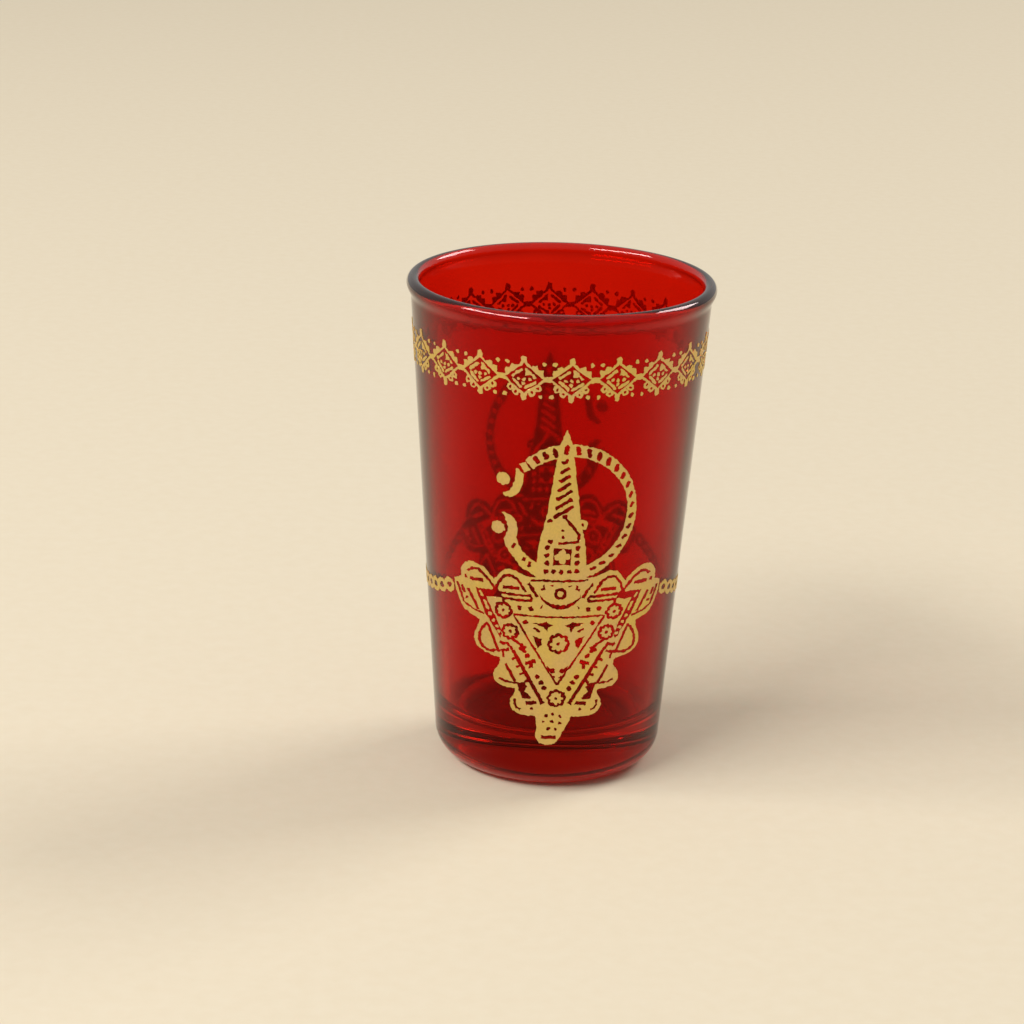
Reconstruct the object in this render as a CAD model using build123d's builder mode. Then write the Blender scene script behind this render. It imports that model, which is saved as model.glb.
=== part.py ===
# Moroccan tea glass: a pressed red tumbler with a gold print fired onto its outside.
# Origin at the middle of the foot, +Z up, front of the print towards -Y. Millimetres.
import math
import os

from build123d import *

os.makedirs("parts", exist_ok=True)

# Tumbler
height = 90.0
mouth_diameter = 55.0  # over the lip
base_diameter = 40.5  # of the straight wall carried down to the table
lip_thickness = 2.4
lip_proud = 0.6  # how far the lip stands out past the wall
lip_blend = 3.6  # height in which the wall flows into the lip
wall_at_lip = 2.0
wall_at_floor = 2.8
base_thickness = 9.5
floor_corner = 3.5
heel_radius = 5.5
bearing_radius = 13.0  # inner edge of the flat ring that it stands on
punt_depth = 1.2

# Gold print
ink_thickness = 0.12
border_drop = 11.5  # from the top of the lip to the middle of the border
border_clear = 5.0  # from the border down to the tip of the pin
brooch_foot = 9.4  # height of the end of the tail above the table
brooch_half_angle = 52.0  # from the middle of the brooch to a corner of its plate

# Border lozenges, measured on the wall
border_turn = 1.0  # degrees from the front to the middle of the nearest lozenge, to the right
lozenge_width = 6.75
lozenge_height = 5.4
lozenge_line = 0.4
tooth_size = 1.12
tooth_corner = 0.25
tooth_lift = 0.5  # of a tooth's centre off the lozenge's upper side
lobe_radius = 0.66
lobe_lift = 0.74  # of a lobe's centre off the lozenge's lower side
lobe_hole = 0.24
nub_height = 0.95
nub_width = 1.0
bar_length = 1.3
bar_height = 0.95
dot_radius = 0.36
upper_dot_rise = 2.75  # of the loose dots from the middle of the border
lower_dot_drop = 3.1
filling_length = 2.4
filling_width = 0.48
filling_dot = 0.31

# Chain links, measured on the wall
link_length = 3.0
link_height = 2.65
link_line = 0.8
link_overlap = 0.5
chain_drop = 1.9  # of the first and last links below the plates' corners
chain_sag = 2.4
chain_gap = 0.05  # between the last link and the plate's corner, sideways

# Sizes that follow from these
mouth_radius = mouth_diameter / 2
base_radius = base_diameter / 2
lip_radius = lip_thickness / 2
wall_top_radius = mouth_radius - lip_proud
wall_top = height - lip_blend
border_height = height - border_drop
border_half = lozenge_height / 2 + lozenge_line + nub_height
brooch_height = border_height - border_half - border_clear - brooch_foot


def outer_radius(z):
    return base_radius + (wall_top_radius - base_radius) * z / height


def inner_radius(z):
    share = (z - base_thickness) / (wall_top - base_thickness)
    return outer_radius(z) - wall_at_floor - (wall_at_lip - wall_at_floor) * share


def wall_plane(angle):
    # A plane through the glass's axis that faces outwards, turned from the front to the right
    turn = math.radians(angle)
    sideways = (math.cos(turn), math.sin(turn), 0)
    outwards = (math.sin(turn), -math.cos(turn), 0)
    return Plane(origin=(0, 0, 0), x_dir=sideways, z_dir=outwards)


# Tumbler: one revolved profile, with a push-up under the foot and a rounded lip
with BuildPart() as tumbler:
    with BuildSketch(Plane.XZ) as profile:
        lip_middle = height - lip_radius
        wall_end = (outer_radius(wall_top), wall_top)
        lip_outside = (mouth_radius, lip_middle)
        lip_top = (mouth_radius - lip_radius, height)
        lip_inside = (mouth_radius - lip_thickness, lip_middle)
        inner_end = (inner_radius(wall_top), wall_top)
        heel = (base_radius, 0)
        floor_edge = (inner_radius(base_thickness), base_thickness)
        outer_lean = (wall_end[0] - heel[0], wall_end[1] - heel[1])
        inner_lean = (floor_edge[0] - inner_end[0], floor_edge[1] - inner_end[1])
        with BuildLine():
            TangentArc((0, punt_depth), (bearing_radius, 0), tangent=(1, 0))
            Line((bearing_radius, 0), heel)
            Line(heel, wall_end)
            Spline(wall_end, lip_outside, tangents=[outer_lean, (0, 1)])
            ThreePointArc(lip_outside, lip_top, lip_inside)
            Spline(lip_inside, inner_end, tangents=[(0, -1), inner_lean])
            Line(inner_end, floor_edge)
            Line(floor_edge, (0, base_thickness))
            Line((0, base_thickness), (0, punt_depth))
        make_face()
        for corner, radius in ((heel, heel_radius), (floor_edge, floor_corner)):
            fillet(profile.vertices().sort_by_distance(corner)[0], radius)
    revolve(axis=Axis.Z)
tumbler.part.label = "tumbler"
export_step(tumbler.part, "parts/tumbler.step")

# Ink layer: the thin skin round the straight wall that every printed piece is cut from
with BuildPart() as ink_layer:
    with BuildSketch(Plane.XZ):
        with BuildLine():
            Polyline(
                (outer_radius(heel_radius), heel_radius),
                (outer_radius(heel_radius) + ink_thickness, heel_radius),
                (outer_radius(wall_top) + ink_thickness, wall_top),
                (outer_radius(wall_top), wall_top),
                close=True,
            )
        make_face()
    revolve(axis=Axis.Z)


def print_on_wall():
    # Carries the sketch just drawn out from the axis and keeps only its ink
    extrude(amount=mouth_diameter)
    add(ink_layer.part, mode=Mode.INTERSECT)


def round_the_glass(unit, count):
    with PolarLocations(0, count):
        add(unit.part)


# Border: lozenges with toothed upper and scalloped lower sides, joined by bars,
# as many as fit round the glass
border_radius = outer_radius(border_height)
border_count = round(2 * math.pi * border_radius / (lozenge_width + bar_length))
border_step = 360 / border_count
half_pitch = border_radius * math.tan(math.radians(border_step / 2))
half_width = lozenge_width / 2
half_height = lozenge_height / 2
side_length = math.hypot(half_width, half_height)
lozenge_corners = [(half_width, 0), (0, half_height), (-half_width, 0), (0, -half_height)]
tooth_shares = (0.27, 0.53)  # places along an upper side, from its outer corner
lobe_shares = (0.42, 0.72)  # and along a lower side


def on_border(x, z):
    return (x, border_height + z)


def in_lozenge(x, z):
    # A place in shares of the lozenge's half width and half height
    return on_border(x * half_width, z * half_height)


def beside_lozenge(shares, lift, up):
    # Places along the two upper or the two lower sides, lifted off them
    for right in (1, -1):
        for share in shares:
            x = half_width * (1 - share) + lift * half_height / side_length
            z = half_height * share + lift * half_width / side_length
            yield on_border(right * x, up * z)


with BuildPart() as border_unit:
    with BuildSketch(wall_plane(border_turn)):
        nub_middle = half_height + lozenge_line + nub_height - nub_width / 2
        lobe_centres = list(beside_lozenge(lobe_shares, lobe_lift, -1))
        with Locations(on_border(0, 0)):
            Polygon(*lozenge_corners)
            offset(amount=lozenge_line)
            Rectangle(2 * half_pitch, bar_height)
            SlotOverall(2 * nub_middle + nub_width, nub_width, rotation=90)
        with Locations(*beside_lozenge(tooth_shares, tooth_lift, 1)):
            RectangleRounded(tooth_size, tooth_size, tooth_corner)
        with Locations(*lobe_centres):
            Circle(lobe_radius)
        with Locations(on_border(0, 0)):
            Polygon(*lozenge_corners, mode=Mode.SUBTRACT)
        with Locations(*lobe_centres):
            Circle(lobe_hole, mode=Mode.SUBTRACT)
    print_on_wall()
with BuildPart() as border_band:
    round_the_glass(border_unit, border_count)
border_band.part.label = "border_band"
export_step(border_band.part, "parts/border_band.step")

# Border fillings: three leaning bars, an arrowhead and four dots in each lozenge
filling_bars = [(-0.37, 0.33, 36), (-0.37, -0.36, -45), (0.32, -0.42, 29)]
filling_dots = [(-0.29, -0.06), (0, -0.07), (0.31, -0.06), (-0.03, -0.35)]
arrowhead = [(0.08, 0.68), (0.22, 0.62), (0.64, 0.08), (0.5, 0.02), (0.36, 0.24), (0.08, 0.18)]

with BuildPart() as filling_unit:
    with BuildSketch(wall_plane(border_turn)):
        for x, z, lean in filling_bars:
            with Locations(in_lozenge(x, z)):
                SlotOverall(filling_length, filling_width, rotation=lean)
        with Locations(*[in_lozenge(x, z) for x, z in filling_dots]):
            Circle(filling_dot)
        Polygon(*[in_lozenge(x, z) for x, z in arrowhead])
    print_on_wall()
with BuildPart() as border_fillings:
    round_the_glass(filling_unit, border_count)
border_fillings.part.label = "border_fillings"
export_step(border_fillings.part, "parts/border_fillings.step")

# Loose dots: a pair above and a pair below each bar, the pairs set over a little
dot_pairs = {
    "border_upper_dots": (upper_dot_rise, (-0.7, 1.2)),
    "border_lower_dots": (-lower_dot_drop, (-1.2, 0.7)),
}
for name, (rise, places) in dot_pairs.items():
    with BuildPart() as dot_unit:
        with BuildSketch(wall_plane(border_turn + border_step / 2)):
            with Locations(*[on_border(x, rise) for x in places]):
                Circle(dot_radius)
        print_on_wall()
    with BuildPart() as border_dots:
        round_the_glass(dot_unit, border_count)
    border_dots.part.label = name
    export_step(border_dots.part, f"parts/{name}.step")

# Brooch: drawn as it looks from the front, x across from its middle and z up from the end
# of its tail, then fitted to the space below the border and to the plate's angle
drawn_height = 59.9
plate_corner = (18.2, 29.2)
corner_height = brooch_foot + plate_corner[1] * brooch_height / drawn_height
corner_reach = outer_radius(corner_height) * math.sin(math.radians(brooch_half_angle))
across = corner_reach / plate_corner[0]
upwards = brooch_height / drawn_height
fine = min(across, upwards)
thin_line = 0.42 * fine  # widths of the lines left free of ink
red_line = 0.54 * fine
bold_line = 0.74 * fine
pinhole = 0.3 * fine
bead = 0.47 * fine
petals = 8  # round a rosette


def at(x, z):
    return (x * across, brooch_foot + z * upwards)


def both_sides(points):
    return points + [(-x, z) for x, z in reversed(points)]


def shape(points, mode=Mode.ADD):
    Polygon(*[at(x, z) for x, z in points], mode=mode)


def dots(points, radius, mode=Mode.SUBTRACT):
    with Locations(*[at(x, z) for x, z in points]):
        Circle(radius, mode=mode)


def slot(x, z, length, width, lean=0, mode=Mode.SUBTRACT):
    # A round-ended bar, its middle, length, width and lean as drawn
    with Locations(at(x, z)):
        SlotOverall(length * fine, width * fine, rotation=lean, mode=mode)


def stroke(points, width, mode=Mode.SUBTRACT):
    with BuildLine() as path:
        Polyline(*[at(x, z) for x, z in points])
    trace(path.line, line_width=width, mode=mode)


def curve_through(points):
    return Spline(*[at(x, z) for x, z in points])


def draw_rosette(x, z, radius, grow=0.0, mode=Mode.ADD):
    # A disc with small petals round its edge
    petal = 0.6 * math.pi * radius * fine / petals
    with Locations(at(x, z)):
        Circle(radius * fine + grow, mode=mode)
        with PolarLocations(radius * fine, petals):
            Circle(petal + grow, mode=mode)


# Plate outline: a triangle with six scallops a side, right half from the crown round to the tail
plate_top = 32.4
scallops = [
    [(4.5, plate_top), (7.0, 32.8), (8.0, 33.2), (9.7, 33.2), (10.6, 32.3), (11.6, 31.0)],
    [(11.6, 31.0), (13.0, 32.5), (14.4, 33.2), (15.8, 33.3), (16.8, 32.4), (17.1, 30.0)],
    [plate_corner, (17.9, 27.0), (17.2, 25.2), (16.5, 24.0), (15.3, 23.3), (13.8, 22.8)],
    [(13.8, 22.8), (14.1, 21.2), (14.6, 19.4), (13.8, 17.2), (12.0, 16.5), (10.0, 16.0)],
    [(10.0, 16.0), (10.5, 14.3), (11.1, 12.9), (10.5, 11.2), (9.1, 10.7), (7.3, 10.5)],
    [(7.3, 10.5), (7.7, 9.0), (8.1, 7.6), (7.4, 6.2), (5.4, 5.6), (3.2, 5.6)],
]
tail_outline = [(-3.6, 6.2), (-3.3, 3.5), (-3.5, 1.6), (-2.7, 0.3), (-1.6, 0.0), (-0.3, 0.1)]
tail_outline += [(0.5, 0.7), (1.0, 1.8), (2.4, 4.8), (2.9, 6.2)]  # it hangs a little to the left

with BuildSketch() as plate_face:
    with BuildLine() as half_edge:
        for scallop in scallops:
            curve_through(scallop)
        Line(at(*scallops[1][-1]), at(*plate_corner))
        tail_start = scallops[-1][-1][1]
        Polyline(at(*scallops[-1][-1]), at(0, tail_start), at(0, plate_top), at(*scallops[0][0]))
    make_face(half_edge.edges())
    mirror(about=Plane.YZ)
    shape(tail_outline)

# Pin: a tapered tongue with an ear, right half of its outline from the tip down
pin_outline = [(0.12, 59.9), (0.5, 58.8), (1.4, 56.3), (1.35, 55.2), (2.3, 48.3), (3.0, 43.3)]
pin_outline += [(3.9, 39.6), (4.25, 36.0), (4.25, plate_top)]
pin_ear = (3.4, 42.4)
pin_ear_radius = 0.92 * fine
pin_panel = (0.1, 36.4)
panel_size = 3.2 * fine
pin_beads = [(-2.3, 43.2), (0.3, 43.9), (-2.1, 39.3)]
pin_beads += [(side, z) for side in (-2.6, 2.7) for z in (38.1, 36.6, 35.2)]
pin_beads += [(x, 33.6) for x in (-2.7, -1.4, 0, 1.4, 2.7)]
pin_pinholes = [pin_ear, (0, 41.4), (0, 40.1)]
pin_eye = (0.1, 56.3, 1.8, 1.0, 85)
pin_slots = 7
pin_slot_top = 54.1
pin_slot_step = 1.55
pin_slot_growth = 0.42  # in length from one slot to the next below it
pin_slot_width = 0.72
pin_slot_lean = 33
pin_fold = [(0.3, 43.9), (2.9, 40.5), (2.75, 39.2), (-0.7, 38.9)]


def draw_pin(mode):
    shape(both_sides(pin_outline), mode=mode)
    dots([pin_ear], pin_ear_radius, mode=mode)


with BuildPart() as brooch_pin:
    with BuildSketch(wall_plane(0)):
        draw_pin(Mode.ADD)
        slot(*pin_eye)
        for n in range(pin_slots):
            drop = pin_slot_step * n
            slot_length = pin_slot_step + pin_slot_growth * n
            slot(0, pin_slot_top - drop, slot_length, pin_slot_width, pin_slot_lean)
        stroke(pin_fold, red_line)
        dots(pin_pinholes, pinhole)
        dots(pin_beads, bead)
        with Locations(at(*pin_panel)):
            Rectangle(panel_size, panel_size, mode=Mode.SUBTRACT)
    print_on_wall()

# Ring: a slotted ribbon round the pin, wider at its top, open on the left, with crescent ends
ring_centre = (1.0, 44.6)
ring_outside = (11.9, 12.7)
ring_inside = (10.3, 10.4)
ring_middle = [(outside + inside) / 2 for outside, inside in zip(ring_outside, ring_inside)]
ring_cut = 131  # degrees round the ring, from its right, where its left end stops
ring_foot = 270  # where the plate hides it
ring_slot_angles = [84 - 10 * n for n in range(16)] + [105, 114, 123]
ring_slot = (1.2, 0.66)  # length and width at the foot
ring_slot_growth = (0.6, 0.26)  # and how much more they are at the top
ring_slot_lean = 50
ring_slot_turn = 0.62  # of a slot for each degree round the ring
ring_stub = [(-7.9, 53.3), (-7.0, 51.8), (-6.0, 52.3), (-6.9, 53.8)]
upper_end_curves = [
    [(-8.45, 52.5), (-8.6, 50.2), (-9.3, 48.4), (-10.4, 47.6)],
    [(-10.4, 47.6), (-10.3, 47.1), (-9.4, 47.0)],
    [(-9.4, 47.0), (-8.2, 47.5), (-7.3, 49.4), (-7.1, 51.4)],
    [(-7.1, 51.4), (-8.45, 52.5)],
]
lower_end_curves = [
    [(-10.7, 43.9), (-9.7, 42.3), (-9.6, 40.3), (-10.2, 39.0)],
    [(-10.2, 39.0), (-9.2, 36.9), (-7.8, 35.0), (-6.2, 33.6), (-4.2, plate_top)],
    [(-4.2, plate_top), (-4.0, 35.0)],
    [(-4.0, 35.0), (-6.2, 36.4), (-7.4, 37.9), (-8.0, 39.2)],
    [(-8.0, 39.2), (-7.8, 40.8), (-8.4, 43.0), (-10.7, 43.9)],
]
lower_end_slots = [(-8.4, 37.9, 1.2, 0.6, 75), (-5.6, 34.7, 1.1, 0.6, 80)]
lower_end_nick = [(-6.3, 36.0), (-6.7, 35.2)]


def ring_point(angle, reach=1.0):
    turn = math.radians(angle)
    x = ring_centre[0] + reach * ring_middle[0] * math.cos(turn)
    z = ring_centre[1] + reach * ring_middle[1] * math.sin(turn)
    return (x, z)


with BuildPart() as brooch_ring:
    with BuildSketch(wall_plane(0)):
        for radii, mode in ((ring_outside, Mode.ADD), (ring_inside, Mode.SUBTRACT)):
            with Locations(at(*ring_centre)):
                Ellipse(radii[0] * across, radii[1] * upwards, mode=mode)
        wedge = [ring_point(angle, reach=2) for angle in (ring_cut, 180, 225, ring_foot)]
        shape([ring_centre] + wedge, mode=Mode.SUBTRACT)
        shape(ring_stub)
        for curves in (upper_end_curves, lower_end_curves):
            with BuildLine() as crescent:
                for points in curves:
                    if len(points) > 2:
                        curve_through(points)
                    else:
                        Line(*[at(x, z) for x, z in points])
            make_face(crescent.edges())
        for angle in ring_slot_angles:
            # The slots are long and stand up at the top, and are short and lie down at the foot
            high = max(0, math.sin(math.radians(angle)))
            slot_length = ring_slot[0] + ring_slot_growth[0] * high**2
            slot_width = ring_slot[1] + ring_slot_growth[1] * high
            slot(*ring_point(angle), slot_length, slot_width, ring_slot_lean + ring_slot_turn * angle)
        for opening in lower_end_slots:
            slot(*opening)
        stroke(lower_end_nick, red_line)
        draw_pin(Mode.SUBTRACT)
        add(plate_face.sketch, mode=Mode.SUBTRACT)
        with Locations(at(0, plate_top)):
            Rectangle(mouth_diameter, height, align=(Align.CENTER, Align.MAX), mode=Mode.SUBTRACT)
    print_on_wall()

# Balls at the ends of the ring
ring_balls = [(-10.55, 50.2), (-11.15, 41.0)]
ball_radius = 1.14 * fine

with BuildPart() as brooch_balls:
    with BuildSketch(wall_plane(0)):
        dots(ring_balls, ball_radius, mode=Mode.ADD)
    print_on_wall()

# Plate: what its right half leaves free of ink, then the same mirrored. The corner and crown
# shells come first, then the bars, the beaded band, the long slant with its teeth, and the foot.
triangle = [(7.7, 24.7), (-7.7, 24.7), (0, 12.2)]
rosettes = [(9.75, 25.4, 0.9), (-9.75, 25.4, 0.9), (8.5, 21.5, 0.88), (-8.5, 21.5, 0.88), (0, 9.2, 1.0)]
flower = (0, 19.8, 1.2)
crown_eye = (0, 29.4)
crown_eye_radius = 1.1 * fine
side_shell_arcs = [[(12.5, 21.9), (13.2, 20.7), (13.45, 19.3)], [(13.45, 19.3), (12.8, 17.75), (10.8, 17.75)]]
plate_strokes = [
    (red_line, [(11.4, 29.3), (12.2, 30.4), (13.2, 31.4), (14.4, 32.3), (15.4, 32.1), (16.1, 31.3)]),
    (bold_line, [(13.3, 30.25), (15.7, 30.05)]),
    (thin_line, [(16.45, 30.6), (16.35, 29.8)]),
    (red_line, [(11.1, 29.4), (10.6, 30.9), (9.8, 32.0), (8.6, 32.2), (7.4, 31.6), (6.8, 30.6), (6.0, 29.3)]),
    (bold_line, [(10.0, 29.85), (7.1, 29.85)]),
    (red_line, [(10.5, 28.65), (5.3, 28.7), (4.9, 28.2), (5.2, 27.75), (10.1, 27.75)]),
    (red_line, [(5.7, 31.2), (4.8, 29.9), (4.0, 28.6)]),
    (thin_line, [(3.4, 30.0), (2.8, 30.3), (2.95, 31.0)]),
    (thin_line, [(17.75, 28.6), (17.2, 27.1), (16.5, 25.2), (15.0, 24.3), (13.0, 24.0)]),
    (red_line, [(15.9, 28.0), (14.0, 24.5)]),
    (red_line, [(17.0, 28.3), (16.5, 26.9)]),
    (red_line, [(8.3, 20.2), (6.7, 19.3)]),
    (red_line, [(10.2, 19.2), (9.6, 18.9), (8.9, 19.2), (8.4, 18.5), (7.9, 18.0)]),
    (bold_line, [(7.9, 18.0), (2.3, 8.0)]),
    (red_line, [(10.6, 17.4), (9.5, 17.6), (8.6, 18.0)]),
    (thin_line, [(9.6, 17.4), (9.4, 16.3)]),
    (red_line, [(9.1, 15.2), (7.3, 11.9)]),
    (thin_line, [(10.2, 12.1), (9.0, 11.75), (6.8, 11.7), (5.4, 11.8)]),
    (thin_line, [(7.2, 8.6), (7.3, 7.5), (6.9, 6.9), (6.2, 6.6)]),
    (bold_line, [(5.4, 7.9), (3.4, 8.25)]),
    (bold_line, [(5.7, 15.7), (3.9, 16.3)]),
    (bold_line, [(4.7, 16.0), (4.6, 14.8)]),
]
plate_openings = [
    [(14.8, 28.55), (11.8, 28.95), (11.5, 29.5), (10.9, 29.5), (10.4, 28.7), (9.9, 27.7), (12.9, 27.4)],
    [(14.7, 28.5), (12.9, 24.2), (11.6, 22.2), (10.2, 20.0), (9.9, 20.6), (10.3, 22.2), (11.2, 24.2)]
    + [(12.8, 27.4)],
    [(9.45, 27.75), (10.1, 27.75), (9.9, 26.5), (9.6, 26.5)],
    [(7.0, 11.6), (5.6, 11.8), (5.2, 11.2), (5.6, 10.2), (4.4, 9.2), (4.6, 8.8), (6.1, 8.8), (6.5, 9.9)],
]
band_bars = [(13.65, 27.7, 1.2), (12.75, 25.9, 1.8)]
band_beads = [(12.0, 24.2), (11.4, 23.1), (10.85, 22.1), (10.4, 21.1)]
band_lean = 65
slant_teeth = [(7.55, 16.4), (6.75, 15.0), (6.0, 13.65), (5.2, 12.3)]
slant_tooth = (1.25, 0.5, -30)  # length, width and lean
plate_beads = [(7.0, 26.3), (5.05, 26.3), (5.3, 17.2), (3.5, 13.3), (2.8, 12.2), (2.2, 11.1)]
plate_cross = [(6.2, 18.6, 1.9, 0.75, 60), (6.2, 18.6, 1.6, 0.75, -30)]
crown_nicks = [(3.2, 26.8, 0.8, 0.28, -62), (1.65, 30.9, 0.7, 0.28, 0)]
crown_line = [(-5.2, 31.75), (4.9, 31.85)]
crown_bow_arcs = [[(-3.7, 29.3), (0, 26.4), (3.7, 29.3)], [(3.7, 29.3), (0, 27.2), (-3.7, 29.3)]]
plate_pinholes = [(16.1, 26.1), (4.3, 6.9)]
tail_holes = [(-1.7, 5.7), (-0.5, 6.1), (0.8, 5.6), (-2.1, 4.5), (-0.6, 4.6), (0.8, 4.3)]
tail_holes += [(-1.2, 3.2), (0, 3.1)]
tail_slit = [(-2.4, 1.45), (0.2, 1.5)]

with BuildSketch() as side_shells:
    with BuildLine() as shell_edge:
        for arc in side_shell_arcs:
            ThreePointArc(*[at(x, z) for x, z in arc])
        Line(at(*side_shell_arcs[-1][-1]), at(*side_shell_arcs[0][0]))
    make_face(shell_edge.edges())
    mirror(about=Plane.YZ)
with BuildSketch() as triangle_face:
    shape(triangle)
with BuildSketch() as free_of_ink:
    for points in plate_openings:
        shape(points)
    for width, points in plate_strokes:
        stroke(points, width, mode=Mode.ADD)
    for x, z in slant_teeth:
        slot(x, z, *slant_tooth, mode=Mode.ADD)
    for opening in plate_cross + crown_nicks:
        slot(*opening, mode=Mode.ADD)
    dots(plate_beads, bead, mode=Mode.ADD)
    dots(plate_pinholes, pinhole, mode=Mode.ADD)
    mirror(about=Plane.YZ)

with BuildPart() as brooch_plate:
    with BuildSketch(wall_plane(0)):
        add(plate_face.sketch)
        add(free_of_ink.sketch, mode=Mode.SUBTRACT)
        offset(side_shells.sketch, amount=red_line, mode=Mode.SUBTRACT)
        offset(triangle_face.sketch, amount=thin_line, mode=Mode.SUBTRACT)
        for rosette in rosettes:
            draw_rosette(*rosette, grow=red_line, mode=Mode.SUBTRACT)
        dots([crown_eye], crown_eye_radius)
        stroke(crown_line, thin_line)
        with BuildLine() as crown_bow:
            for arc in crown_bow_arcs:
                ThreePointArc(*[at(x, z) for x, z in arc])
        make_face(crown_bow.edges(), mode=Mode.SUBTRACT)
        dots(tail_holes, pinhole)
        stroke(tail_slit, bold_line)
    print_on_wall()

# Shells: the leaf islands in the two large side scallops
with BuildPart() as brooch_shells:
    with BuildSketch(wall_plane(0)):
        add(side_shells.sketch)
    print_on_wall()

# Centre triangle, with leaves, beads and a flower left free of ink
upper_leaf = [(4.7, 23.6), (3.1, 23.75), (2.3, 23.95), (1.0, 23.3), (1.9, 22.9), (2.1, 21.9), (2.7, 22.9)]
middle_leaf = [(4.6, 21.2), (3.0, 20.6), (2.9, 19.5), (3.7, 18.8)]
lower_leaf = [(2.0, 15.6), (1.2, 15.1), (0.5, 14.9), (0.4, 14.2), (0.9, 14.0), (1.5, 14.5)]
leaf_vein = (3.9, 22.3, 1.3, 0.5, 27)
tip_nick = (0.55, 13.35, 0.6, 0.3, 50)
corner_bead = (5.9, 23.6)

with BuildPart() as brooch_triangle:
    with BuildSketch(wall_plane(0)):
        add(triangle_face.sketch)
        draw_rosette(*flower, grow=red_line, mode=Mode.SUBTRACT)
        for right in (1, -1):
            dots([(right * corner_bead[0], corner_bead[1])], bead)
            for x, z, length, width, lean in (leaf_vein, tip_nick):
                slot(right * x, z, length, width, right * lean)
            for leaf in (upper_leaf, middle_leaf, lower_leaf):
                shape([(right * x, z) for x, z in leaf], mode=Mode.SUBTRACT)
    print_on_wall()

# Rosettes: the discs in the red rings, the band's beads, the crown's eye and the pin panel's quatrefoil
band_bar_width = 0.42
band_bead = 0.31 * fine
quatrefoil_leaf = 0.62 * fine
quatrefoil_reach = 0.8 * fine  # from its middle to the middle of a leaf

with BuildPart() as brooch_rosettes:
    with BuildSketch(wall_plane(0)):
        for right in (1, -1):
            for x, z, length in band_bars:
                slot(right * x, z, length, band_bar_width, right * band_lean, mode=Mode.ADD)
            dots([(right * x, z) for x, z in band_beads], band_bead, mode=Mode.ADD)
        for x, z, radius in rosettes + [flower]:
            draw_rosette(x, z, radius)
            dots([(x, z)], pinhole)
        dots([crown_eye], crown_eye_radius / 2, mode=Mode.ADD)
        with Locations(at(*pin_panel)):
            Circle(quatrefoil_reach)
            with PolarLocations(quatrefoil_reach, 4):
                Circle(quatrefoil_leaf)
    print_on_wall()

# The brooch is printed twice, on the front and on the back
brooch = {
    "ring": brooch_ring,
    "balls": brooch_balls,
    "pin": brooch_pin,
    "plate": brooch_plate,
    "shells": brooch_shells,
    "triangle": brooch_triangle,
    "rosettes": brooch_rosettes,
}
for side, turn in (("front", 0), ("back", 180)):
    for name, piece in brooch.items():
        with BuildPart() as island:
            add(piece.part, rotation=(0, 0, turn))
        island.part.label = f"{side}_brooch_{name}"
        export_step(island.part, f"parts/{side}_brooch_{name}.step")

# Chains: links that hang in a shallow curve between the two plates' corners
link_pitch = link_length - link_overlap
chain_height = corner_height - chain_drop
chain_radius = outer_radius(chain_height - chain_sag)
chain_start = brooch_half_angle + math.degrees((chain_gap + link_length / 2) / chain_radius)
chain_turn = 180 - 2 * chain_start
chain_steps = round(math.radians(chain_turn) * chain_radius / link_pitch)


def draw_links(right, inset, mode):
    for n in range(chain_steps + 1):
        share = n / chain_steps
        rise = chain_height - chain_sag * (1 - (2 * share - 1) ** 2)
        with BuildSketch(wall_plane(right * (chain_start + chain_turn * share))) as link:
            with Locations((0, rise)):
                Ellipse(link_length / 2 - inset, link_height / 2 - inset)
        extrude(link.sketch, amount=mouth_diameter, mode=mode)


for name, right in (("right_chain", 1), ("left_chain", -1)):
    with BuildPart() as chain:
        draw_links(right, 0, Mode.ADD)
        draw_links(right, link_line, Mode.SUBTRACT)
        add(ink_layer.part, mode=Mode.INTERSECT)
    chain.part.label = name
    export_step(chain.part, f"parts/{name}.step")
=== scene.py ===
# A small red tea glass with a gold print: the tumbler first, then the print that is fired onto it,
# then the floor, the lamps and the camera. Sizes are in millimetres and are turned to metres by mm().
import math

import bmesh
import bpy
from mathutils import Matrix, Vector, noise


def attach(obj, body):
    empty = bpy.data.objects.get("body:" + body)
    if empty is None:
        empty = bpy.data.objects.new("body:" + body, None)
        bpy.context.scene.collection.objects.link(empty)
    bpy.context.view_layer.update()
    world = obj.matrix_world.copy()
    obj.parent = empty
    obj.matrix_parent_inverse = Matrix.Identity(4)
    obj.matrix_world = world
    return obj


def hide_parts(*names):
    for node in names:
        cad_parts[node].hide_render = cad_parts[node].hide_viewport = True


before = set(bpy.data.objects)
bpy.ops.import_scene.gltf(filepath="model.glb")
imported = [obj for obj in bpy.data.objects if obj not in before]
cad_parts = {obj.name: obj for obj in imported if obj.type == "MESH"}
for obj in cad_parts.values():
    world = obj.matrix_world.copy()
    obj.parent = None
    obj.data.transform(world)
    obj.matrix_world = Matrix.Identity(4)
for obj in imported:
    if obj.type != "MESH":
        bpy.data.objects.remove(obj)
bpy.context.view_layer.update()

# Tumbler: soda-lime glass, pressed in a mould, stained red and fire-polished, so wall and lip are smooth.
# The lip is a round bead that stands a little proud of the wall. The foot is thick, with a shallow hollow
# below. The profile is drawn from the hollow's middle over the lip to the inner floor and spun round the axis.
height = 90.0
base_radius = 20.25
wall_top_radius = 26.9  # of the straight wall carried up to the top
wall_top = 86.4
lip_radius = 1.2
lip_outside = 27.5
wall_at_lip = 2.0
wall_at_floor = 2.8
floor_height = 9.5
floor_corner = 3.5
heel_radius = 5.5
bearing_radius = 13.0
punt_depth = 1.2
print_bed = 0.04  # the wall stands this far over the print's underside, so the gold is rooted in the glass
profile_weld = 0.002
turns = 192
punt_rings = 16
heel_rings = 20
flare_rings = 10
bead_rings = 24
corner_rings = 16
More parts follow.
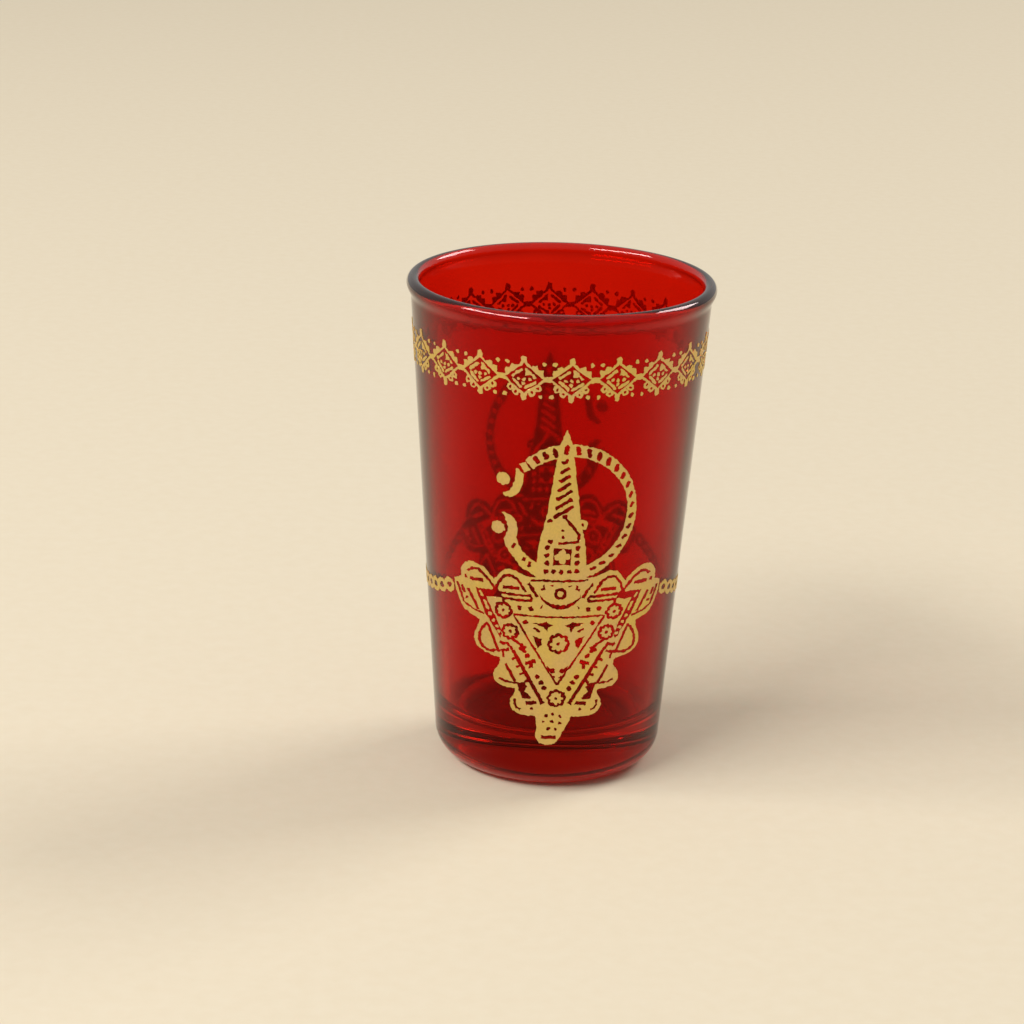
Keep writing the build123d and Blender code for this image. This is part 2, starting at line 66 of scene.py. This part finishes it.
bearing_shares = (0.05, 0.5, 0.95, 1.0)
wall_shares = (0.004, 0.06, 0.15, 0.25, 0.35, 0.45, 0.55, 0.65, 0.75, 0.85, 0.94, 0.996, 1.0)
floor_shares = (0.01, 0.1, 0.3, 0.5, 0.7, 0.85, 1.0)


def mm(value):
    return value / 1000.0


def outer_radius(z):
    return base_radius + (wall_top_radius - base_radius) * z / height + print_bed


def inner_radius(z):
    share = (z - floor_height) / (wall_top - floor_height)
    return outer_radius(z) - print_bed - wall_at_floor - (wall_at_lip - wall_at_floor) * share


def profile_end():
    """The selected end of the profile, in millimetres."""
    drawn = bmesh.from_edit_mesh(bpy.context.object.data)
    place = bpy.context.object.location
    end = next(v for v in drawn.verts if v.select)
    return (end.co.x + place.x) * 1000.0, (end.co.z + place.z) * 1000.0


def line_to(x, z, shares=(1.0,)):
    """Extrudes the selected end of the profile to a point, with a ring at each share of the way."""
    start_x, start_z = profile_end()
    done = 0.0
    for share in shares:
        step = share - done
        move = (mm((x - start_x) * step), 0.0, mm((z - start_z) * step))
        bpy.ops.mesh.extrude_region_move(TRANSFORM_OT_translate={"value": move})
        done = share


def arc_about(x, z, angle, steps):
    """Spins the selected end of the profile about a centre. A positive angle goes from up towards outwards."""
    bpy.ops.mesh.spin(steps=steps, angle=-angle, center=(mm(x), 0.0, mm(z)), axis=(0.0, 1.0, 0.0))


def flow_to(x, z, leave, arrive, steps):
    """Extrudes the selected end of the profile along a smooth curve with the two directions given."""
    start_x, start_z = profile_end()
    reach = math.hypot(x - start_x, z - start_z)
    for step in range(1, steps + 1):
        t = step / steps
        from_start = 2 * t**3 - 3 * t**2 + 1
        push_out = (t**3 - 2 * t**2 + t) * reach
        push_in = (t**3 - t**2) * reach
        new_x = from_start * start_x + (1 - from_start) * x + push_out * leave[0] + push_in * arrive[0]
        new_z = from_start * start_z + (1 - from_start) * z + push_out * leave[1] + push_in * arrive[1]
        line_to(new_x, new_z)


right_angle = math.pi / 2
outer_lean = math.atan((wall_top_radius - base_radius) / height)
inner_lean = math.atan((inner_radius(wall_top) - inner_radius(floor_height)) / (wall_top - floor_height))
heel_turn = right_angle - outer_lean
heel_start = outer_radius(0.0) - heel_radius * math.tan(heel_turn / 2)
floor_turn = right_angle - inner_lean
floor_reach = floor_corner * math.tan(floor_turn / 2)
floor_start_x = inner_radius(floor_height) + floor_reach * math.sin(inner_lean)
floor_start_z = floor_height + floor_reach * math.cos(inner_lean)
floor_corner_x = floor_start_x - floor_corner * math.cos(inner_lean)
punt_radius = (bearing_radius**2 + punt_depth**2) / (2 * punt_depth)
lip_height = height - lip_radius
lip_middle = lip_outside - lip_radius
up_the_wall = (math.sin(outer_lean), math.cos(outer_lean))
down_the_inside = (-math.sin(inner_lean), -math.cos(inner_lean))

bpy.ops.object.select_all(action="DESELECT")
bpy.ops.mesh.primitive_plane_add(size=mm(1.0), location=(0.0, 0.0, mm(punt_depth)))
tumbler = bpy.context.object
tumbler.name = "red_tumbler"
bpy.ops.object.mode_set(mode="EDIT")
bpy.ops.mesh.merge(type="CENTER")
arc_about(0.0, punt_depth - punt_radius, math.asin(bearing_radius / punt_radius), punt_rings)
line_to(heel_start, 0.0, bearing_shares)
arc_about(heel_start, heel_radius, -heel_turn, heel_rings)
line_to(outer_radius(wall_top), wall_top, wall_shares)
flow_to(lip_outside, lip_height, up_the_wall, (0.0, 1.0), flare_rings)
arc_about(lip_middle, lip_height, -math.pi, bead_rings)
flow_to(inner_radius(wall_top), wall_top, (0.0, -1.0), down_the_inside, flare_rings)
line_to(floor_start_x, floor_start_z, wall_shares)
arc_about(floor_corner_x, floor_height + floor_corner, floor_turn, corner_rings)
line_to(0.0, floor_height, floor_shares)
bpy.ops.mesh.select_all(action="SELECT")
bpy.ops.mesh.spin(steps=turns, angle=2 * math.pi, center=(0.0, 0.0, 0.0), axis=(0.0, 0.0, 1.0))
bpy.ops.mesh.select_all(action="SELECT")
bpy.ops.mesh.remove_doubles(threshold=mm(profile_weld))
bpy.ops.mesh.normals_make_consistent(inside=False)
bpy.ops.object.mode_set(mode="OBJECT")
bpy.ops.object.transform_apply(location=True, rotation=True, scale=True)
bpy.ops.object.shade_smooth()


def srgb(code):
    """Turns an sRGB hex colour into the linear colour that a shader takes."""
    parts = [int(code[i : i + 2], 16) / 255.0 for i in (1, 3, 5)]
    light = [c / 12.92 if c <= 0.04045 else ((c + 0.055) / 1.055) ** 2.4 for c in parts]
    return (*light, 1.0)


def per_mm(size):
    """The texture scale on Object coordinates that repeats at a size in millimetres."""
    return 1000.0 / size


def add(tree, kind, inputs=None, **settings):
    """Adds one node, sets its fields, and sets or links its inputs."""
    made = tree.nodes.new(kind)
    for name, value in settings.items():
        setattr(made, name, value)
    for name, value in (inputs or {}).items():
        if isinstance(value, bpy.types.NodeSocket):
            tree.links.new(value, made.inputs[name])
        else:
            made.inputs[name].default_value = value
    return made


def new_material(name):
    """An empty material with its node tree and output."""
    made = bpy.data.materials.new(name)
    made.use_nodes = True
    made.node_tree.nodes.clear()
    return made, made.node_tree, made.node_tree.nodes.new("ShaderNodeOutputMaterial")


# Red-stained soda-lime glass, fire-polished: a clear glossy body with the red in a thin skin, so that the
# thick foot is no darker than the wall. Where the view slants round the side, the outer wall's colour is
# mixed to near black: painted edge shade. The mould leaves a slow ripple, the plunger a duller inside,
# handling a faint film, and the underside is stippled where it stands.
ripple_size = 9.0
ripple_depth = 0.05
film_size = 6.0
film_dullness = 0.03
inside_dullness = 0.09
underside_dullness = 0.6
stain_drift_size = 16.0
# Painted edge shade: it begins at slant_start and is full at slant_full, as the view slants round the side.
slant_start = 0.3  # one less the sideways share of the view: smaller is nearer the edge
slant_full = 0.09
body_density = 60.0  # per metre of glass

glass, tree, output = new_material("red_stained_soda_lime_glass_fire_polished")
place = add(tree, "ShaderNodeTexCoord")
inside = add(tree, "ShaderNodeAttribute", attribute_name="inside")
underside = add(tree, "ShaderNodeAttribute", attribute_name="underside")
lip = add(tree, "ShaderNodeAttribute", attribute_name="lip")
outer_wall = add(tree, "ShaderNodeAttribute", attribute_name="outer_wall")
ripple = add(
    tree,
    "ShaderNodeTexNoise",
    {"Vector": place.outputs["Object"], "Scale": per_mm(ripple_size), "Detail": 1.0},
)
surface = add(
    tree,
    "ShaderNodeBump",
    {"Height": ripple.outputs["Fac"], "Strength": 0.25, "Distance": mm(ripple_depth)},
)
film = add(
    tree,
    "ShaderNodeTexNoise",
    {"Vector": place.outputs["Object"], "Scale": per_mm(film_size), "Detail": 4.0},
)
film_gloss = add(
    tree,
    "ShaderNodeMapRange",
    {"Value": film.outputs["Fac"], "From Min": 0.35, "From Max": 0.75, "To Min": 0.0, "To Max": film_dullness},
)
inner_gloss = add(
    tree,
    "ShaderNodeMath",
    {0: inside.outputs["Fac"], 1: inside_dullness, 2: film_gloss.outputs["Result"]},
    operation="MULTIPLY_ADD",
)
gloss = add(
    tree,
    "ShaderNodeMath",
    {0: underside.outputs["Fac"], 1: underside_dullness, 2: inner_gloss.outputs["Value"]},
    operation="MULTIPLY_ADD",
)
drift = add(
    tree,
    "ShaderNodeTexNoise",
    {"Vector": place.outputs["Object"], "Scale": per_mm(stain_drift_size), "Detail": 2.0},
)
stain = add(tree, "ShaderNodeValToRGB", {"Fac": drift.outputs["Fac"]})
stain.color_ramp.elements[0].position = 0.3
stain.color_ramp.elements[0].color = srgb("#CC1405")
stain.color_ramp.elements[1].position = 0.7
stain.color_ramp.elements[1].color = srgb("#D61907")
around = add(
    tree,
    "ShaderNodeVectorMath",
    {0: place.outputs["Object"], 1: (0.0, 0.0, 1.0)},
    operation="CROSS_PRODUCT",
)
sideways = add(
    tree,
    "ShaderNodeVectorTransform",
    {"Vector": around.outputs["Vector"]},
    vector_type="NORMAL",
    convert_from="OBJECT",
    convert_to="WORLD",
)
slant = add(tree, "ShaderNodeLayerWeight", {"Blend": 0.5, "Normal": sideways.outputs["Vector"]})
painted_edge_shade_share = add(
    tree,
    "ShaderNodeMapRange",
    {"Value": slant.outputs["Facing"], "From Min": slant_start, "From Max": slant_full},
    interpolation_type="SMOOTHSTEP",
)
painted_edge_shade = add(
    tree,
    "ShaderNodeMath",
    {0: painted_edge_shade_share.outputs["Result"], 1: outer_wall.outputs["Fac"]},
    operation="MULTIPLY",
)
# Base colour: the red stain, mixed to near black #12100E on the outer wall at a sideways slant. This is
# painted edge shade.
red_with_painted_edge_shade = add(
    tree,
    "ShaderNodeMix",
    {0: painted_edge_shade.outputs["Value"], 6: stain.outputs["Color"], 7: srgb("#12100E")},
    data_type="RGBA",
)
red_glass = add(
    tree,
    "ShaderNodeBsdfPrincipled",
    {
        "Base Color": red_with_painted_edge_shade.outputs[2],
        "Roughness": gloss.outputs["Value"],
        "IOR": 1.52,
        "Transmission Weight": 1.0,
        "Specular Tint": srgb("#FF5646"),
        "Coat Weight": lip.outputs["Fac"],
        "Coat Roughness": 0.02,
        "Normal": surface.outputs["Normal"],
    },
)
body = add(tree, "ShaderNodeVolumeAbsorption", {"Color": srgb("#FAE4E0"), "Density": body_density})
tree.links.new(red_glass.outputs["BSDF"], output.inputs["Surface"])
tree.links.new(body.outputs["Volume"], output.inputs["Volume"])
tumbler.data.materials.append(glass)

# Where the glass is inside, underside, lip or outer wall, for the material: a share from 0 to 1 on each point
skin_margin = 1.2  # nearer to the outer wall than this is outside
underside_height = punt_depth + skin_margin
lip_polish_height = lip_radius / 2  # the coat comes in over this height from the bead's middle up
shares = {"inside": [], "underside": [], "lip": [], "outer_wall": []}


def clamp(value):
    return min(1.0, max(0.0, value))


for point in tumbler.data.vertices:
    reach = math.hypot(point.co.x, point.co.y) * 1000.0
    rise = point.co.z * 1000.0
    within = rise > floor_height - skin_margin and reach < outer_radius(rise) - skin_margin
    # The outer wall above the heel carries the painted edge shade. It fades in from the heel's top to the
    # floor's height.
    above_foot = clamp((rise - heel_radius) / (floor_height - heel_radius))
    shares["inside"].append(float(within))
    shares["underside"].append(float(rise < underside_height and reach < heel_start + print_bed))
    shares["lip"].append(clamp((rise - lip_height) / lip_polish_height))
    shares["outer_wall"].append(0.0 if within else above_foot)
for name, values in shares.items():
    tumbler.data.attributes.new(name, "FLOAT", "POINT").data.foreach_set("value", values)
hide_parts("tumbler")
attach(tumbler, "root")

# Border: lozenges with scalloped, toothed sides joined by bars, their fillings, and loose dots between them.
# It is a lustre of gold and resin, screened onto transfer paper, slid onto the wall below the lip and fired
# until it bites. The screen leaves every outline a little ragged, so each island's outline is shifted a bit.
outline_angle = math.radians(40.0)  # an edge this sharp or sharper is outline
outline_step = 0.16
raggedness = ((0.08, 1.3), (0.22, 0.45))  # how far an outline may shift, and over what length, in mm
outline_seed = 11
print_weld = 0.001
lustre_size = 7.0
grain_size = 0.4
grain_depth = 0.02

gold, tree, output = new_material("fired_gold_print_satin")
place = add(tree, "ShaderNodeTexCoord")
lustre_drift = add(
    tree,
    "ShaderNodeTexNoise",
    {"Vector": place.outputs["Object"], "Scale": per_mm(lustre_size), "Detail": 2.0},
)
lustre = add(tree, "ShaderNodeValToRGB", {"Fac": lustre_drift.outputs["Fac"]})
lustre.color_ramp.elements[0].position = 0.35
lustre.color_ramp.elements[0].color = srgb("#E2C07E")
lustre.color_ramp.elements[1].position = 0.65
lustre.color_ramp.elements[1].color = srgb("#E4C66C")
grain = add(
    tree,
    "ShaderNodeTexNoise",
    {"Vector": place.outputs["Object"], "Scale": per_mm(grain_size), "Detail": 3.0, "Roughness": 0.6},
)
speckle = add(
    tree,
    "ShaderNodeMapRange",
    {"Value": grain.outputs["Fac"], "From Min": 0.3, "From Max": 0.7, "To Min": 0.84, "To Max": 1.0},
)
gold_tone = add(
    tree,
    "ShaderNodeMix",
    {0: 1.0, 6: lustre.outputs["Color"], 7: speckle.outputs["Result"]},
    data_type="RGBA",
    blend_type="MULTIPLY",
)
satin = add(
    tree,
    "ShaderNodeMapRange",
    {"Value": grain.outputs["Fac"], "From Min": 0.3, "From Max": 0.7, "To Min": 0.36, "To Max": 0.52},
)
relief = add(
    tree,
    "ShaderNodeBump",
    {"Height": grain.outputs["Fac"], "Strength": 0.3, "Distance": mm(grain_depth)},
)
gold_shader = add(
    tree,
    "ShaderNodeBsdfPrincipled",
    {
        "Base Color": gold_tone.outputs[2],
        "Metallic": 1.0,
        "Roughness": satin.outputs["Result"],
        "Normal": relief.outputs["Normal"],
    },
)
tree.links.new(gold_shader.outputs["BSDF"], output.inputs["Surface"])


def split_outline(edge):
    """Divides an edge of the outline into steps that can shift on their own."""
    start, end = edge.verts
    for left in range(math.ceil(edge.calc_length() / mm(outline_step)), 1, -1):
        made, start = bmesh.utils.edge_split(edge, start, 1.0 / left)
        edge = edge if end in edge.verts else made


def ragged_shift(spot):
    """How far a place on the wall shifts along the wall, by slow and by quick unevenness of the screen."""
    outwards = Vector((spot.x, spot.y, 0.0)).normalized()
    on_wall = outwards * mm(outer_radius(spot.z * 1000.0)) + Vector((0.0, 0.0, spot.z))
    shift = Vector()
    for most, length in raggedness:
        push = noise.noise_vector(on_wall / mm(length)) * mm(most)
        shift += push.x * Vector((-outwards.y, outwards.x, 0.0))
        shift += push.z * (math.sin(outer_lean) * outwards + Vector((0.0, 0.0, math.cos(outer_lean))))
    return shift


def ragged_print(name):
    """Stands in for a printed node with a copy of it that has a ragged outline."""
    ink = bmesh.new()
    ink.from_mesh(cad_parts[name].data)
    bmesh.ops.remove_doubles(ink, verts=ink.verts, dist=mm(print_weld))
    for edge in [e for e in ink.edges if e.calc_face_angle(math.pi) > outline_angle]:
        split_outline(edge)
    for point in ink.verts:
        point.co += ragged_shift(point.co)
    bmesh.ops.triangulate(ink, faces=ink.faces)
    for face in ink.faces:
        face.smooth = True
    for edge in ink.edges:
        edge.smooth = edge.calc_face_angle(math.pi) < outline_angle
    drawn = bpy.data.meshes.new(name + "_ink")
    ink.to_mesh(drawn)
    ink.free()
    drawn.attributes.remove(drawn.attributes["custom_normal"])
    drawn.materials.append(gold)
    piece = bpy.data.objects.new(name + "_ink", drawn)
    bpy.context.scene.collection.objects.link(piece)
    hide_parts(name)
    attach(piece, "root")


noise.seed_set(outline_seed)
for part in ("band", "fillings", "upper_dots", "lower_dots"):
    ragged_print("border_" + part)

# Brooches: the same gold, printed on the front and on the back in one go with the border. Each is a slotted
# ring with two balls, a pin through it, and a scalloped plate with shells, a triangle and rosettes. What is
# red in them is left free of ink.
for side in ("front", "back"):
    for part in ("ring", "balls", "pin", "plate", "shells", "triangle", "rosettes"):
        ragged_print(f"{side}_brooch_{part}")

# Chains: the same gold, printed with the brooches. A shallow row of oval links on each side of the glass
# hangs from beside the front plate's corner to beside the back plate's.
for side in ("left", "right"):
    ragged_print(side + "_chain")

# Floor: a plain pale matt board with a fine fleck, large enough that no edge shows. It isn't part of the
# glass, and lies a hair below it.
floor_size = 8000.0
floor_gap = 0.05
fleck_size = 3.0
bpy.ops.object.select_all(action="DESELECT")
bpy.ops.mesh.primitive_plane_add(size=mm(floor_size), location=(0.0, 0.0, mm(-floor_gap)))
floor = bpy.context.object
floor.name = "floor"
board, tree, output = new_material("pale_matt_board")
place = add(tree, "ShaderNodeTexCoord")
fleck = add(
    tree,
    "ShaderNodeTexNoise",
    {"Vector": place.outputs["Object"], "Scale": per_mm(fleck_size), "Detail": 3.0},
)
tone = add(tree, "ShaderNodeValToRGB", {"Fac": fleck.outputs["Fac"]})
tone.color_ramp.elements[0].color = srgb("#E4D5B9")
tone.color_ramp.elements[1].color = srgb("#E9DCC3")
matt = add(tree, "ShaderNodeBsdfPrincipled", {"Base Color": tone.outputs["Color"], "Roughness": 0.9})
tree.links.new(matt.outputs["BSDF"], output.inputs["Surface"])
floor.data.materials.append(board)

# Light: an even pale room, three windows side by side to the left and in front, and a soft box behind to
# the right. All are far from the glass, so that the floor is lit evenly.
room_strength = 0.38
scene = bpy.context.scene
scene.view_settings.view_transform = "Standard"
room = bpy.data.worlds.new("pale_room")
room.use_nodes = True
room.node_tree.nodes.clear()
room_light = add(room.node_tree, "ShaderNodeBackground", {"Color": srgb("#F4F1EC"), "Strength": room_strength})
add(room.node_tree, "ShaderNodeOutputWorld", {"Surface": room_light.outputs["Background"]})
scene.world = room
middle = Vector((0.0, 0.0, mm(height / 2)))


def soft_box(name, azimuth, elevation, distance, width, depth, power):
    """An oblong lamp that faces the glass, in degrees, metres and watts. Azimuth goes right from the front."""
    a, e = math.radians(azimuth), math.radians(elevation)
    away = Vector((math.cos(e) * math.sin(a), -math.cos(e) * math.cos(a), math.sin(e)))
    lamp = bpy.data.lights.new(name, "AREA")
    lamp.shape = "RECTANGLE"
    lamp.size = width
    lamp.size_y = depth
    lamp.energy = power
    holder = bpy.data.objects.new(name, lamp)
    holder.location = middle + away * distance
    holder.rotation_euler = away.to_track_quat("Z", "Y").to_euler()
    scene.collection.objects.link(holder)


window = {"elevation": 42.0, "distance": 2.0, "depth": 0.47}
soft_box("left_window", azimuth=-86.0, width=0.4, power=8.2, **window)
soft_box("middle_window", azimuth=-68.0, width=0.4, power=8.2, **window)
soft_box("front_window", azimuth=-45.0, width=0.73, power=15.0, **window)
soft_box("back_soft_box", azimuth=118.0, elevation=40.0, distance=2.4, width=1.03, depth=1.03, power=22.0)

# Camera: at the photograph's distance, height and slight roll, a little to the left of the print's middle.
# The lens and the glass's place in the frame were fitted to the photograph's outline.
camera_distance = 560.0
camera_elevation = math.radians(18.536)
camera_turn = math.radians(4.0)
camera_roll = math.radians(1.976)
frame_pixels = 1024.0
focal_pixels = 3086.65
glass_right = 41.75  # pixels from the middle of the frame to the middle of the glass
glass_down = 6.31
back = Vector(
    (
        -math.cos(camera_elevation) * math.sin(camera_turn),
        -math.cos(camera_elevation) * math.cos(camera_turn),
        math.sin(camera_elevation),
    )
)
level_right = Vector((0.0, 0.0, 1.0)).cross(back).normalized()
level_up = back.cross(level_right)
right = math.cos(camera_roll) * level_right + math.sin(camera_roll) * level_up
up = math.cos(camera_roll) * level_up - math.sin(camera_roll) * level_right
aim = Matrix((right, up, back)).transposed().to_4x4()
aim = aim @ Matrix.Rotation(math.atan(glass_right / focal_pixels), 4, "Y")
aim = aim @ Matrix.Rotation(math.atan(glass_down / focal_pixels), 4, "X")
camera_data = bpy.data.cameras.new("camera")
camera_data.sensor_width = 36.0
camera_data.lens = focal_pixels / frame_pixels * camera_data.sensor_width
camera = bpy.data.objects.new("camera", camera_data)
camera.matrix_world = Matrix.Translation(middle + back * mm(camera_distance)) @ aim
scene.collection.objects.link(camera)
scene.camera = camera
